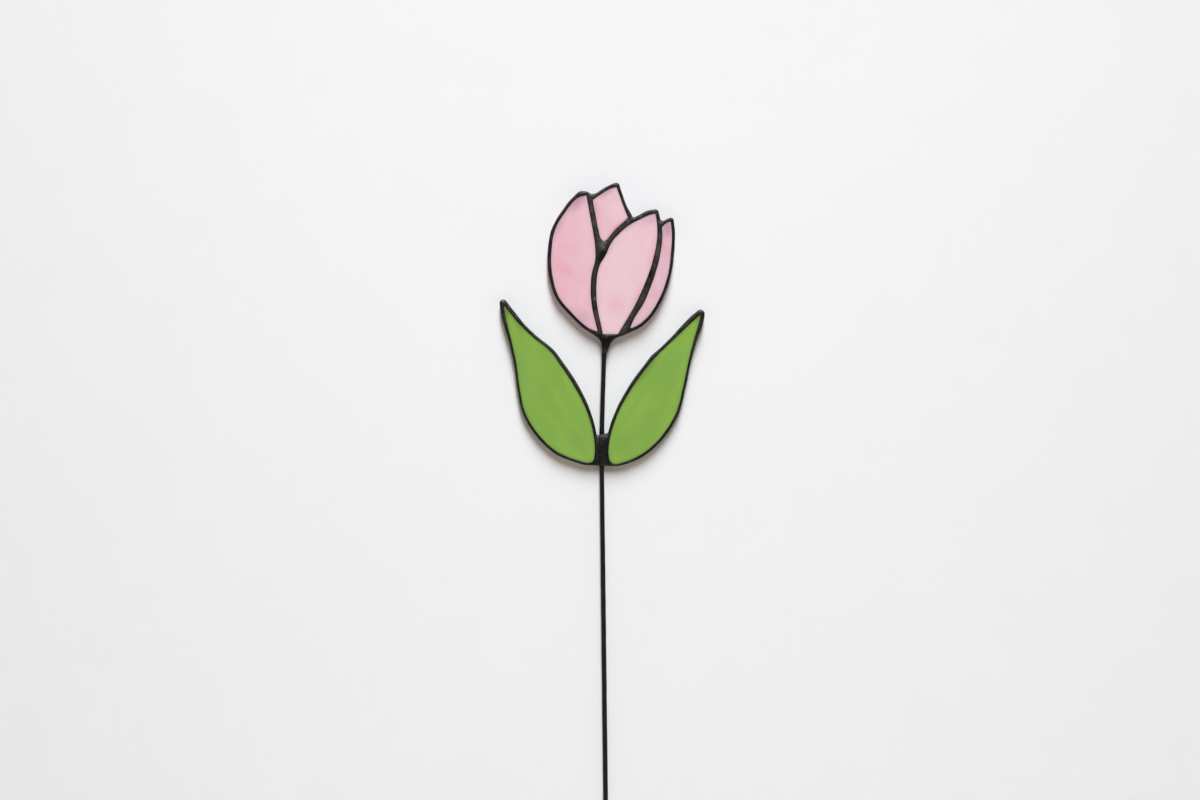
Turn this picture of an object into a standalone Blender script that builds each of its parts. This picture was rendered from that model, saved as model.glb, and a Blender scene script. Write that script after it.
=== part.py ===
"""A stained-glass tulip made in the copper foil way: four pink petals and two green leaves of opal glass,
each wrapped in foil, beaded and joined with solder, and carried by one bent rod.

Metres. +Z runs up the lower stem from the middle of the rod's cut end, which is the origin. +X is to the
right of someone who faces the front, and the front faces -Y. All the glass lies in the plane Y = 0, and
every flat shape here is a loop of (x, z) points in that plane, listed anticlockwise as seen from the front.
"""
import math
from dataclasses import dataclass

import bmesh
import bpy
import numpy as np
from mathutils.geometry import delaunay_2d_cdt

MILLIMETRE = 0.001

# Sheet glass, and the foil folded round its edge
GLASS_THICKNESS = 0.0030
GLASS_CORNER_RADIUS = 0.0008
FOIL_THICKNESS = 0.00006
FOIL_OVERLAP = 0.0009
FOIL_CLEARANCE = 0.00004

# Solder: how far its bead stands out past the glass, how it fills notches, and how it swells
PETAL_BEAD = 0.0009
LEAF_BEAD = 0.00075
NOTCH_FILLET = 0.0016
WINDOW_CORNER_RADIUS = 0.0003
SOLDER_CLEARANCE = 0.00004
SOLDER_EDGE = 0.00015
SOLDER_CROWN = 0.0027
SOLDER_SPREAD = 0.0006
RUN_GAP = 0.0003

# The rod, straight to its slight bend at the leaves and leaning a little above it
ROD_DIAMETER = 0.0024
ROD_CLEARANCE = 0.0001
LOWER_STEM_LENGTH = 0.2478
UPPER_STEM_LENGTH = 0.0573
UPPER_STEM_LEAN = math.radians(2.38)
BEND_RADIUS = 0.750
LEAF_DROP = 0.0145

# Colours of the glass, and how rough it is
PETAL_COLOURS = {
    "left": (0.74, 0.44, 0.51),
    "back": (0.71, 0.46, 0.52),
    "front": (0.77, 0.51, 0.56),
    "right": (0.65, 0.41, 0.47),
}
LEAF_COLOUR = (0.22, 0.40, 0.07)
GLASS_ROUGHNESS = 0.12

# How finely curves are followed, and how near two points are one place
STEP = 0.0003
FAN_ANGLE = math.radians(12)
SHARPEST_MITRE = math.radians(115)
CHORD_ERROR = 0.00006
DOME_LINE = 0.0004
BEND_POINTS = 4
ROD_BEVEL_RESOLUTION = 4
SECTION_SIDES = 20
SHARP_EDGE = math.radians(50)
SAME_PLACE = 0.000001

# Outlines of the cut glass in millimetres, side by side from corner to corner, each side a smooth line
# through its points. Petals are drawn from the top end of the rod, leaves from the foot of their joint.
PETAL_OUTLINES = {
    "left": [
        [(-8.4, 81.2), (-15.0, 79.0), (-21.8, 71.4), (-28.0, 60.8), (-30.2, 47.5), (-29.9, 35.6),
         (-26.3, 22.8), (-19.0, 13.5), (-9.8, 4.9), (-2.3, 1.8)],
        [(-2.3, 1.8), (-4.2, 9.5), (-5.8, 17.2), (-6.5, 26.0), (-5.7, 36.0), (-3.8, 43.0), (-3.6, 49.6),
         (-4.7, 60.0), (-6.6, 71.3), (-8.4, 81.2)],
    ],
    "back": [
        [(8.2, 85.6), (3.6, 84.1), (-2.2, 80.8), (-6.9, 77.5)],
        [(-6.9, 77.5), (-5.35, 69.0), (-3.85, 60.6), (-2.2, 54.8), (0.4, 52.9), (2.8, 54.3), (4.6, 56.5),
         (7.8, 60.2), (11.0, 63.0), (15.1, 66.6)],
        [(15.1, 66.6), (12.7, 73.9), (10.2, 80.4), (8.2, 85.6)],
    ],
    "front": [
        [(30.0, 70.4), (24.8, 69.0), (18.4, 66.1), (12.4, 62.6), (7.3, 57.9), (4.6, 55.0), (2.4, 51.4),
         (0.4, 46.8), (-3.0, 41.3), (-4.8, 34.0), (-5.3, 24.5), (-4.5, 15.0), (-3.0, 7.6), (-1.7, 0.9)],
        [(-1.7, 0.9), (8.1, 0.9)],
        [(8.1, 0.9), (12.9, 8.7), (17.8, 17.0), (22.7, 27.0), (26.7, 37.0), (29.7, 47.6), (31.1, 56.0),
         (31.0, 64.0), (30.0, 70.4)],
    ],
    "right": [
        [(38.6, 66.0), (35.2, 64.8), (31.8, 62.2)],
        [(31.8, 62.2), (31.7, 54.5), (29.7, 43.2), (26.4, 32.0), (21.5, 20.0), (15.6, 10.5), (12.6, 3.4)],
        [(12.6, 3.4), (18.6, 5.5), (24.6, 10.2), (30.1, 17.8), (34.8, 27.5), (37.6, 36.5), (39.0, 47.0),
         (39.5, 57.0), (38.6, 66.0)],
    ],
}
LEAF_OUTLINES = {
    "left": [
        [(-55.2, 94.6), (-54.1, 85.0), (-50.4, 69.0), (-48.1, 57.5), (-46.3, 43.0), (-43.3, 29.6),
         (-36.1, 17.5), (-26.1, 7.8), (-14.0, 2.5), (-7.4, 1.0), (-4.2, 2.2), (-2.9, 6.5), (-3.5, 18.0),
         (-7.2, 31.5), (-14.2, 46.0), (-22.2, 58.2), (-26.0, 63.7), (-30.3, 67.9), (-37.2, 73.4),
         (-46.3, 82.7), (-55.2, 94.6)],
    ],
    "right": [
        [(57.9, 87.2), (49.0, 79.0), (38.5, 69.3), (29.2, 60.3), (19.2, 47.8), (9.0, 30.8), (4.0, 16.5),
         (2.9, 7.0), (4.0, 2.0), (7.2, 0.1), (12.0, 0.9), (23.2, 5.6), (34.0, 14.8), (42.8, 28.8),
         (46.9, 43.0), (49.9, 56.6), (53.3, 69.8), (56.6, 80.6), (57.9, 87.2)],
    ],
}

# What the outermost bead of solder follows: free edges of panes, each from point to point, and lines drawn
# from one pane to the next, which widen into the fills round the rod
HEAD_EDGE = [
    ("left", (-8.4, 81.2), (-9.4, 4.7)),
    [(-7.6, 3.4), (-5.0, 1.75), (-2.9, 0.3), (-1.7, -1.9)],
    [(2.8, -2.9), (4.65, -0.6), (6.75, 0.6), (10.3, 1.8)],
    ("right", (15.5, 4.3), (31.8, 62.2)),
    ("front", (30.0, 70.4), (16.0, 65.0)),
    ("back", (15.1, 66.6), (-6.9, 77.5)),
]
LEAF_EDGE = [
    ("left", (-3.3, 15.6), (-7.4, 1.0)),
    [(-4.0, 0.6), (0.0, 0.35), (4.0, 0.15)],
    ("right", (7.2, 0.1), (3.9, 16.2)),
]

# Where one run of solder ends and the next begins: a cut from the first point to the second
HEAD_CUTS = [
    ((-9.4, 79.0), (-8.8, 84.5)),
    ((-4.4, 77.2), (-5.6, 82.0)),
    ((13.0, 66.6), (20.0, 69.0)),
    ((19.4, 64.0), (17.6, 69.6)),
    ((28.9, 68.2), (30.4, 74.0)),
    ((34.4, 61.8), (32.8, 67.6)),
    ((-4.6, 5.2), (-5.8, -0.6)),
    ((15.8, 7.2), (17.4, 0.6)),
    ((-6.0, 6.6), (0.4, 5.0)),
    ((5.8, 2.6), (16.6, 8.0)),
    ((-7.4, 57.2), (-0.6, 58.6)),
    ((3.0, 58.4), (7.8, 54.2)),
    ((-7.6, 42.6), (0.4, 40.2)),
]
LEAF_CUTS = [
    ((-8.0, 19.4), (-2.3, 19.9)),
    ((-8.6, 4.4), (-9.6, -1.6)),
    ((9.0, 19.4), (2.5, 19.9)),
    ((9.0, 3.4), (9.8, -2.4)),
]

# Each run of solder, named, with a point on it
HEAD_RUNS = {
    "rim_petal_left": (-30.6, 40.0),
    "rim_petal_back": (12.5, 76.0),
    "rim_petal_front": (24.6, 69.6),
    "rim_petal_right": (39.0, 42.0),
    "seam_left_back": (-5.0, 67.0),
    "seam_back_front": (11.6, 62.7),
    "seam_left_front": (-5.8, 25.0),
    "seam_front_right": (25.6, 33.0),
    "solder_petal_junction": (-1.2, 50.0),
    "solder_calyx": (3.0, -0.4),
}
LEAF_RUNS = {
    "rim_leaf_left": (-47.0, 45.0),
    "rim_leaf_right": (47.6, 43.0),
    "solder_leaf_joint": (0.0, 9.0),
}

# Sections of the two solder fills round the rod in millimetres: how far up from their origin, how far the
# fill stands out sideways and front to back past the rod's bore, how far its middle lies to the right of
# the rod's, and how square it is
CALYX_SECTIONS = [
    (-9.6, 0.12, 0.12, 0.00, 2.0),
    (-8.4, 0.34, 0.22, 0.18, 2.0),
    (-7.0, 0.62, 0.36, 0.40, 2.0),
    (-5.2, 1.00, 0.52, 0.66, 2.1),
    (-3.4, 1.58, 0.70, 0.85, 2.3),
    (-2.2, 1.90, 0.80, 1.00, 2.5),
    (-0.9, 1.70, 0.55, 1.20, 3.0),
]
LEAF_JOINT_SECTIONS = [
    (-1.6, 0.12, 0.12, 0.0, 2.0),
    (-0.8, 0.34, 0.30, 0.0, 2.0),
    (0.0, 0.85, 0.55, 0.0, 2.2),
    (1.2, 1.00, 0.65, 0.0, 2.4),
    (8.0, 1.00, 0.65, 0.0, 2.4),
    (15.6, 1.00, 0.65, 0.0, 2.4),
    (17.0, 0.60, 0.40, 0.0, 2.2),
    (18.0, 0.12, 0.12, 0.0, 2.0),
]

# Worked out from the sizes above
HALF_GLASS = GLASS_THICKNESS / 2
FOIL_INSIDE = FOIL_CLEARANCE
FOIL_OUTSIDE = FOIL_INSIDE + FOIL_THICKNESS
SOLDER_INSIDE = FOIL_OUTSIDE + SOLDER_CLEARANCE
SOLDER_EDGE_HEIGHT = HALF_GLASS + SOLDER_INSIDE + SOLDER_EDGE
BORE_RADIUS = ROD_DIAMETER / 2 + ROD_CLEARANCE
CUTTER_DEPTH = 4 * SOLDER_EDGE_HEIGHT
FOILED_HALF = HALF_GLASS + SOLDER_INSIDE
BEND = np.array([0.0, LOWER_STEM_LENGTH])
UPPER_DIRECTION = np.array([math.sin(UPPER_STEM_LEAN), math.cos(UPPER_STEM_LEAN)])
ROD_TOP = BEND + UPPER_STEM_LENGTH * UPPER_DIRECTION
LEAF_FOOT = np.array([0.0, LOWER_STEM_LENGTH - LEAF_DROP])


@dataclass
class PaneGroup:
    """Panes that one skin of solder holds together, and the joint that holds them to the rod."""
    name: str
    outlines: dict
    origin: np.ndarray
    edge: list
    bead: float
    cuts: list
    runs: dict
    joint: str
    sections: list


HEAD = PaneGroup("petal", PETAL_OUTLINES, ROD_TOP, HEAD_EDGE, PETAL_BEAD, HEAD_CUTS, HEAD_RUNS,
                 "solder_calyx", CALYX_SECTIONS)
LEAVES = PaneGroup("leaf", LEAF_OUTLINES, LEAF_FOOT, LEAF_EDGE, LEAF_BEAD, LEAF_CUTS, LEAF_RUNS,
                   "solder_leaf_joint", LEAF_JOINT_SECTIONS)


def remove_scene_objects():
    for item in list(bpy.data.objects):
        bpy.data.objects.remove(item, do_unlink=True)


def new_collection(name):
    collection = bpy.data.collections.new(name)
    bpy.context.scene.collection.children.link(collection)
    return collection


def material(name, colour, roughness, metallic):
    result = bpy.data.materials.new(name)
    result.use_nodes = True
    shader = result.node_tree.nodes["Principled BSDF"]
    shader.inputs["Base Color"].default_value = (*colour, 1.0)
    shader.inputs["Roughness"].default_value = roughness
    shader.inputs["Metallic"].default_value = metallic
    return result


def smooth_side(points):
    """A centripetal Catmull-Rom curve through the points, sampled about every STEP."""
    points = np.array(points)
    first = 2 * points[0] - points[1]
    last = 2 * points[-1] - points[-2]
    knots = np.vstack([first, points, last])
    samples = []
    for before, start, end, after in zip(knots, knots[1:], knots[2:], knots[3:]):
        spans = [math.sqrt(math.dist(a, b)) for a, b in ((before, start), (start, end), (end, after))]
        slope_in = (start - before) / spans[0] - (end - before) / (spans[0] + spans[1])
        slope_out = (end - start) / spans[1]
        slope_on = (after - end) / spans[2] - (after - start) / (spans[1] + spans[2])
        start_slope = (slope_in + slope_out) * spans[1]
        end_slope = (slope_out + slope_on) * spans[1]
        count = max(2, math.ceil(math.dist(start, end) / STEP))
        t = np.linspace(0, 1, count, endpoint=False)[:, None]
        samples.append((2 * t**3 - 3 * t**2 + 1) * start + (t**3 - 2 * t**2 + t) * start_slope
                       + (3 * t**2 - 2 * t**3) * end + (t**3 - t**2) * end_slope)
    return np.vstack(samples)


def even_steps(loop):
    """The same closed loop with its points STEP apart."""
    closed = np.vstack([loop, loop[:1]])
    travelled = np.r_[0, np.cumsum(np.linalg.norm(np.diff(closed, axis=0), axis=1))]
    places = np.linspace(0, travelled[-1], max(8, int(travelled[-1] / STEP)), endpoint=False)
    return np.column_stack([np.interp(places, travelled, closed[:, axis]) for axis in (0, 1)])


def distance_to(loop, points):
    """How far each point lies from the nearest edge of a closed loop."""
    edge = np.roll(loop, -1, axis=0) - loop
    along = ((points[:, None] - loop) * edge).sum(axis=2) / (edge**2).sum(axis=1)
    nearest = loop + np.clip(along, 0, 1)[:, :, None] * edge
    return np.linalg.norm(points[:, None] - nearest, axis=2).min(axis=1)


def inside(loop, points):
    """Whether each point lies inside a closed loop, by the edges that a ray to the right crosses."""
    start, end = loop, np.roll(loop, -1, axis=0)
    x, z = points[:, :1], points[:, 1:]
    rise = end[:, 1] - start[:, 1]
    spans = (start[:, 1] > z) != (end[:, 1] > z)
    crossing = start[:, 0] + (z - start[:, 1]) * (end - start)[:, 0] / np.where(rise == 0, 1, rise)
    return (spans & (x < crossing)).sum(axis=1) % 2 == 1


def corner_turns(loop):
    """The direction of each corner's first outward normal, and how far the loop turns there."""
    edge = np.roll(loop, -1, axis=0) - loop
    leaving = np.arctan2(-edge[:, 0], edge[:, 1])
    arriving = np.roll(leaving, 1)
    turn = (leaving - arriving + math.pi) % (2 * math.pi) - math.pi
    return arriving, turn


def offset(loop, distance):
    """The loop moved out by the distance, or in where it is negative, with round corners on the side
    that opens. Points that come nearer than the distance to some other edge are left out."""
    arriving, turn = corner_turns(loop)
    moved = []
    for corner, angle, swing in zip(loop, arriving, turn):
        if swing * distance > 0:
            count = math.ceil(abs(swing) / FAN_ANGLE)
            angles = angle + swing * np.linspace(0, 1, count + 1)
            reach = distance
        elif abs(swing) < SHARPEST_MITRE:
            angles = np.array([angle + swing / 2])
            reach = distance / math.cos(swing / 2)
        else:
            continue
        moved.append(corner + reach * np.column_stack([np.cos(angles), np.sin(angles)]))
    moved = np.vstack(moved)
    return even_steps(moved[distance_to(loop, moved) > abs(distance) - SAME_PLACE])


def mitred(loop, distance):
    """Every corner of the loop moved out along its bisector, so that each edge moves by the distance."""
    arriving, turn = corner_turns(loop)
    angle = arriving + turn / 2
    return loop + (distance / np.cos(turn / 2) * np.array([np.cos(angle), np.sin(angle)])).T


def needed(line, first, last):
    """Which points of a line, from the first on and before the last, its chords need to stay within
    CHORD_ERROR of it."""
    chord = line[last] - line[first]
    across = np.array([-chord[1], chord[0]]) / np.linalg.norm(chord)
    error = np.abs((line[first:last + 1] - line[first]) @ across)
    if error.max() < CHORD_ERROR:
        return [first]
    middle = first + int(error.argmax())
    return needed(line, first, middle) + needed(line, middle, last)


def thinned(loop):
    """A closed loop with only the points that its chords need."""
    far = int(np.linalg.norm(loop - loop[0], axis=1).argmax())
    line = np.vstack([loop, loop[:1]])
    return line[needed(line, 0, far) + needed(line, far, len(loop))]


def stretch(loop, start, end):
    """The part of a closed loop between the points nearest to two places."""
    first, last = [np.linalg.norm(loop - place, axis=1).argmin() for place in (start, end)]
    return loop[(first + np.arange((last - first) % len(loop) + 1)) % len(loop)]


def placed(points, origin):
    """Points drawn in millimetres, in metres and set out from their origin."""
    return np.array(points) * MILLIMETRE + origin


def drawn_outline(sides, origin):
    """A pane as it is drawn, with sharp corners."""
    return np.vstack([smooth_side(placed(side, origin)) for side in sides])


def inset(loop, distance, corner_radius):
    """A loop moved in by the distance, with its corners rounded."""
    return offset(offset(loop, -distance - corner_radius), corner_radius)


def solder_outline(group, glass):
    """The outer edge of a group's solder: its bead out from the edge that it follows, with the notches
    between the panes filled by a fillet."""
    followed = [
        smooth_side(placed(item, group.origin)) if isinstance(item, list)
        else stretch(glass[item[0]], *placed(item[1:], group.origin))
        for item in group.edge
    ]
    return offset(offset(np.vstack(followed), group.bead + NOTCH_FILLET), -NOTCH_FILLET)


def new_object(name, mesh, collection, surface=None):
    item = bpy.data.objects.new(name, mesh)
    collection.objects.link(item)
    if surface:
        mesh.materials.clear()
        mesh.materials.append(surface)
    return item


def mesh_of_curve(curve_object, collection):
    """A curve made a mesh of one closed body, which takes the curve's name and place."""
    bpy.context.view_layer.update()
    evaluated = curve_object.evaluated_get(bpy.context.evaluated_depsgraph_get())
    mesh = bpy.data.meshes.new_from_object(evaluated)
    shape = bmesh.new()
    shape.from_mesh(mesh)
    bmesh.ops.remove_doubles(shape, verts=shape.verts, dist=SAME_PLACE)
    shape.to_mesh(mesh)
    shape.free()
    name = curve_object.name
    matrix = curve_object.matrix_world.copy()
    bpy.data.objects.remove(curve_object, do_unlink=True)
    item = new_object(name, mesh, collection)
    item.matrix_world = matrix
    return item


def plate(name, loop, half_thickness, collection):
    """A flat plate of the loop's outline, standing in the plane of the glass."""
    curve = bpy.data.curves.new(name, "CURVE")
    curve.dimensions = "2D"
    curve.fill_mode = "BOTH"
    curve.extrude = half_thickness
    spline = curve.splines.new("POLY")
    spline.points.add(len(loop) - 1)
    for point, (x, z) in zip(spline.points, loop):
        point.co = (x, z, 0, 1)
    spline.use_cyclic_u = True
    outline = bpy.data.objects.new(name, curve)
    outline.rotation_euler.x = math.pi / 2
    collection.objects.link(outline)
    return mesh_of_curve(outline, collection)


def as_cutter(item):
    item.hide_render = True
    item.display_type = "WIRE"
    return item


def cut(item, cutter, operation="DIFFERENCE"):
    modifier = item.modifiers.new(cutter.name, "BOOLEAN")
    modifier.operation = operation
    modifier.solver = "EXACT"
    modifier.object = cutter


def shade(item):
    item.data.shade_smooth()
    item.data.set_sharp_from_angle(angle=SHARP_EDGE)


def blade(start, end):
    """The corners of a saw cut as wide as the gap between two runs of solder, anticlockwise."""
    along = (end - start) / np.linalg.norm(end - start)
    across = RUN_GAP / 2 * np.array([-along[1], along[0]])
    return np.array([start - across, end - across, end + across, start + across])


def in_any(loops, points):
    return np.any([inside(loop, points) for loop in loops], axis=0)


def inner_points(loop, distance, others):
    """Points that follow a loop at a distance on its solder side and lie clear of the other edges."""
    line = thinned(offset(loop, distance))
    clear = [distance_to(other, line) > abs(distance) for other in others]
    return line[np.all(clear, axis=0)]


def plan_triangles(silhouette, windows, foiled, blades):
    """Points and triangles that fill the silhouette, with edges along every other loop."""
    edges = [silhouette, *windows]
    loops = [*edges, *foiled, *blades]
    following = []
    for loop in loops:
        start = len(following)
        following += [start + (index + 1) % len(loop) for index in range(len(loop))]
    inner = []
    for index, loop in enumerate(edges):
        others = [other for other in [*edges, *foiled] if other is not loop]
        inner.append(inner_points(loop, DOME_LINE if index else -DOME_LINE, others))
    points = np.vstack([*loops, *inner]) / MILLIMETRE
    tolerance = 1e-5
    corners, _, faces, _, _, _ = delaunay_2d_cdt(points.tolist(), list(enumerate(following)), [], 0, tolerance)
    corners = np.array([tuple(corner) for corner in corners]) * MILLIMETRE
    faces = np.array(faces)
    centres = corners[faces].mean(axis=1)
    solid = inside(silhouette, centres) & ~in_any([*windows, *blades], centres)
    return corners, faces[solid], in_any(foiled, centres[solid])


def solder_height(points, silhouette, windows):
    """How far molten solder stands off the plane of the glass, from its distance to each edge.
    Its square is a mean of squares weighted by nearness: of zero at the silhouette, of the foiled glass
    at the windows, and of the crown, which counts as an edge SOLDER_SPREAD away."""
    reach = [np.maximum(distance_to(loop, points), SAME_PLACE) for loop in [silhouette, *windows]]
    at_silhouette = 1 / reach[0]
    at_windows = sum(1 / distance for distance in reach[1:])
    at_crown = 1 / SOLDER_SPREAD
    squares = SOLDER_EDGE_HEIGHT**2 * at_windows + SOLDER_CROWN**2 * at_crown
    height = np.sqrt(squares / (at_silhouette + at_windows + at_crown))
    return np.where(reach[0] > SAME_PLACE, height, 0)


def solder_sheet(name, silhouette, windows, foiled, blades, collection):
    """All the solder of one group of panes, domed on both faces, hollow where the foiled panes lie in it
    and parted at the blades. Over each point of the plan stands a column of corners, from the front
    dome past the two faces of a hollow to the back dome."""
    points, faces, hollow = plan_triangles(silhouette, windows, foiled, blades)
    height = solder_height(points, silhouette, windows)
    at_hollow = np.isin(np.arange(len(points)), faces[hollow])
    height[at_hollow] = np.maximum(height[at_hollow], SOLDER_EDGE_HEIGHT)
    shape = bmesh.new()
    columns = {}
    for index in np.unique(faces).tolist():
        x, z = points[index]
        levels = [-height[index], height[index]] if height[index] else [0]
        if at_hollow[index]:
            levels[1:1] = [-FOILED_HALF, FOILED_HALF]
        columns[index] = [shape.verts.new((x, y, z)) for y in levels]

    owner = {}
    for face, is_hollow in zip(faces.tolist(), hollow.tolist()):
        a, b, c = [columns[index] for index in face]
        shape.faces.new((a[0], b[0], c[0]))
        shape.faces.new((c[-1], b[-1], a[-1]))
        if is_hollow:
            shape.faces.new((c[1], b[1], a[1]))
            shape.faces.new((a[2], b[2], c[2]))
        for start, end in zip(face, face[1:] + face[:1]):
            owner[start, end] = is_hollow
    for (start, end), is_hollow in owner.items():
        a, b = columns[start], columns[end]
        if (end, start) not in owner:
            if is_hollow:
                shape.faces.new((b[0], a[0], a[1], b[1]))
                shape.faces.new((b[2], a[2], a[3], b[3]))
            elif len(a) + len(b) > 2:
                shape.faces.new([*b[::-1], *a])
        elif is_hollow and not owner[end, start]:
            shape.faces.new((a[1], b[1], b[2], a[2]))
    mesh = bpy.data.meshes.new(name)
    shape.to_mesh(mesh)
    shape.free()
    return new_object(name, mesh, collection)


def rod_path():
    """The rod's centre line: its cut end, the arc of its bend and its top end, with each point's z last."""
    half_bend = BEND_RADIUS * math.tan(UPPER_STEM_LEAN / 2)
    centre = np.array([BEND_RADIUS, LOWER_STEM_LENGTH - half_bend])
    angles = np.linspace(0, UPPER_STEM_LEAN, BEND_POINTS)
    arc = [centre + BEND_RADIUS * np.array([-math.cos(angle), math.sin(angle)]) for angle in angles]
    return [np.array([0.0, 0.0]), *arc, ROD_TOP]


def bore_path():
    """The rod's path with both ends moved on, each by the clearance."""
    path = rod_path()
    return [path[0] - ROD_CLEARANCE * UPPER_DIRECTION, *path[1:-1], path[-1] + ROD_CLEARANCE * UPPER_DIRECTION]


def rod_tube(name, path, radius, collection):
    """A round bar along the path, as a curve with filled ends."""
    curve = bpy.data.curves.new(name, "CURVE")
    curve.dimensions = "3D"
    curve.bevel_depth = radius
    curve.bevel_resolution = ROD_BEVEL_RESOLUTION
    curve.use_fill_caps = True
    spline = curve.splines.new("POLY")
    spline.points.add(len(path) - 1)
    for point, (x, z) in zip(spline.points, path):
        point.co = (x, 0, z, 1)
    tube = bpy.data.objects.new(name, curve)
    collection.objects.link(tube)
    return tube


def solder_fill(name, sections, origin, collection):
    """A loft along the rod through rounded sections, from round ones to flat, squarer ones."""
    path = np.array(rod_path())
    angles = np.linspace(0, 2 * math.pi, SECTION_SIDES, endpoint=False)
    cosine, sine = np.cos(angles), np.sin(angles)
    rings = []
    for up, wide, deep, aside, power in sections:
        z = origin[1] + up * MILLIMETRE
        middle = np.interp(z, path[:, 1], path[:, 0]) + aside * MILLIMETRE
        across = BORE_RADIUS + wide * MILLIMETRE
        through = BORE_RADIUS + deep * MILLIMETRE
        x = middle + across * np.sign(cosine) * np.abs(cosine)**(2 / power)
        y = through * np.sign(sine) * np.abs(sine)**(2 / power)
        rings.append(np.column_stack([x, y, np.full(SECTION_SIDES, z)]))
    shape = bmesh.new()
    loops = [[shape.verts.new(point) for point in ring] for ring in rings]
    for lower, upper in zip(loops, loops[1:]):
        for index in range(SECTION_SIDES):
            following = (index + 1) % SECTION_SIDES
            shape.faces.new((lower[index], lower[following], upper[following], upper[index]))
    shape.faces.new(loops[0][::-1])
    shape.faces.new(loops[-1])
    mesh = bpy.data.meshes.new(name)
    shape.to_mesh(mesh)
    shape.free()
    return new_object(name, mesh, collection)


def solder_runs(sheet, group, surface, parts):
    """Takes the runs of solder apart, each its own object under the name of the point that is on it."""
    bpy.ops.object.select_all(action="DESELECT")
    bpy.context.view_layer.objects.active = sheet
    sheet.select_set(True)
    bpy.ops.mesh.separate(type="LOOSE")
    pieces = list(bpy.context.selected_objects)
    for name, place in group.runs.items():
        spot = placed(place, group.origin)

        def reach(piece):
            return min(math.dist((vert.co.x, vert.co.z), spot) for vert in piece.data.vertices)

        piece = min(pieces, key=reach)
        pieces.remove(piece)
        piece.name = name
        piece.data.name = name
        for owner in list(piece.users_collection):
            owner.objects.unlink(piece)
        parts.objects.link(piece)
        piece.data.materials.append(surface)
        shade(piece)


def pane(name, outline, surface, parts):
    """A pane of sheet glass."""
    item = plate(name, outline, HALF_GLASS, parts)
    item.data.materials.append(surface)


def foil(name, outline, window, surface, parts, cutters):
    """Copper foil folded round a pane's edge: a plate as large as the foiled pane, without the window
    that stays clear and without the pane itself."""
    item = plate(name, mitred(outline, FOIL_OUTSIDE), HALF_GLASS + FOIL_OUTSIDE, parts)
    item.data.materials.append(surface)
    opening = plate(name + "_window", window, CUTTER_DEPTH, cutters)
    glass = plate(name + "_glass", mitred(outline, FOIL_INSIDE), HALF_GLASS + FOIL_INSIDE, cutters)
    for cutter in (opening, glass):
        cut(item, as_cutter(cutter))


def build_group(group, glass_of, copper, patina, parts, cutters):
    """The panes, the foil on each, and the runs of solder, of which the joint is filled out round the rod."""
    glass = {}
    windows = []
    foiled = []
    for side, sides in group.outlines.items():
        drawn = drawn_outline(sides, group.origin)
        glass[side] = inset(drawn, 0, GLASS_CORNER_RADIUS)
        outline = thinned(glass[side])
        window = thinned(inset(drawn, FOIL_OVERLAP, WINDOW_CORNER_RADIUS))
        pane(f"{group.name}_{side}", outline, glass_of[side], parts)
        foil(f"foil_{group.name}_{side}", outline, window, copper, parts, cutters)
        windows.append(window)
        foiled.append(mitred(outline, SOLDER_INSIDE))

    silhouette = thinned(solder_outline(group, glass))
    blades = [blade(*placed(ends, group.origin)) for ends in group.cuts]
    sheet = solder_sheet(f"{group.name}_solder", silhouette, windows, foiled, blades, parts)
    solder_runs(sheet, group, patina, parts)
    joint = bpy.data.objects[group.joint]
    fill = solder_fill(f"{group.joint}_fill", group.sections, group.origin, cutters)
    bore = mesh_of_curve(rod_tube(f"{group.joint}_bore", bore_path(), BORE_RADIUS, cutters), cutters)
    cut(joint, as_cutter(fill), "UNION")
    cut(joint, as_cutter(bore))


def build_tulip():
    remove_scene_objects()
    parts = new_collection("glass_tulip")
    cutters = new_collection("cutters")
    petal_glass = {
        side: material(f"pink_glass_{side}", colour, GLASS_ROUGHNESS, 0.0)
        for side, colour in PETAL_COLOURS.items()
    }
    leaf_glass = dict.fromkeys(LEAF_OUTLINES, material("green_glass", LEAF_COLOUR, GLASS_ROUGHNESS, 0.0))
    copper = material("copper_foil", (0.80, 0.42, 0.28), 0.30, 1.0)
    patina = material("black_patina_solder", (0.025, 0.024, 0.023), 0.38, 0.6)
    blackened = material("blackened_rod", (0.020, 0.019, 0.019), 0.35, 0.6)

    build_group(HEAD, petal_glass, copper, patina, parts, cutters)
    build_group(LEAVES, leaf_glass, copper, patina, parts, cutters)
    rod = mesh_of_curve(rod_tube("stem_rod", rod_path(), ROD_DIAMETER / 2, parts), parts)
    rod.data.materials.append(blackened)
    shade(rod)


if __name__ == "__main__":
    build_tulip()
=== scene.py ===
"""The looks of a stained glass tulip: opal glass in darkened solder on a thin rod, in front of a white board.

Metres. The glass lies in the plane Y = 0, so most shapes here are loops of (x, z) points in that plane,
anticlockwise as seen from the front, which faces -Y.
"""

import math

import bpy
import numpy as np
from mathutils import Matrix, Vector
from mathutils.geometry import delaunay_2d_cdt


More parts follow.
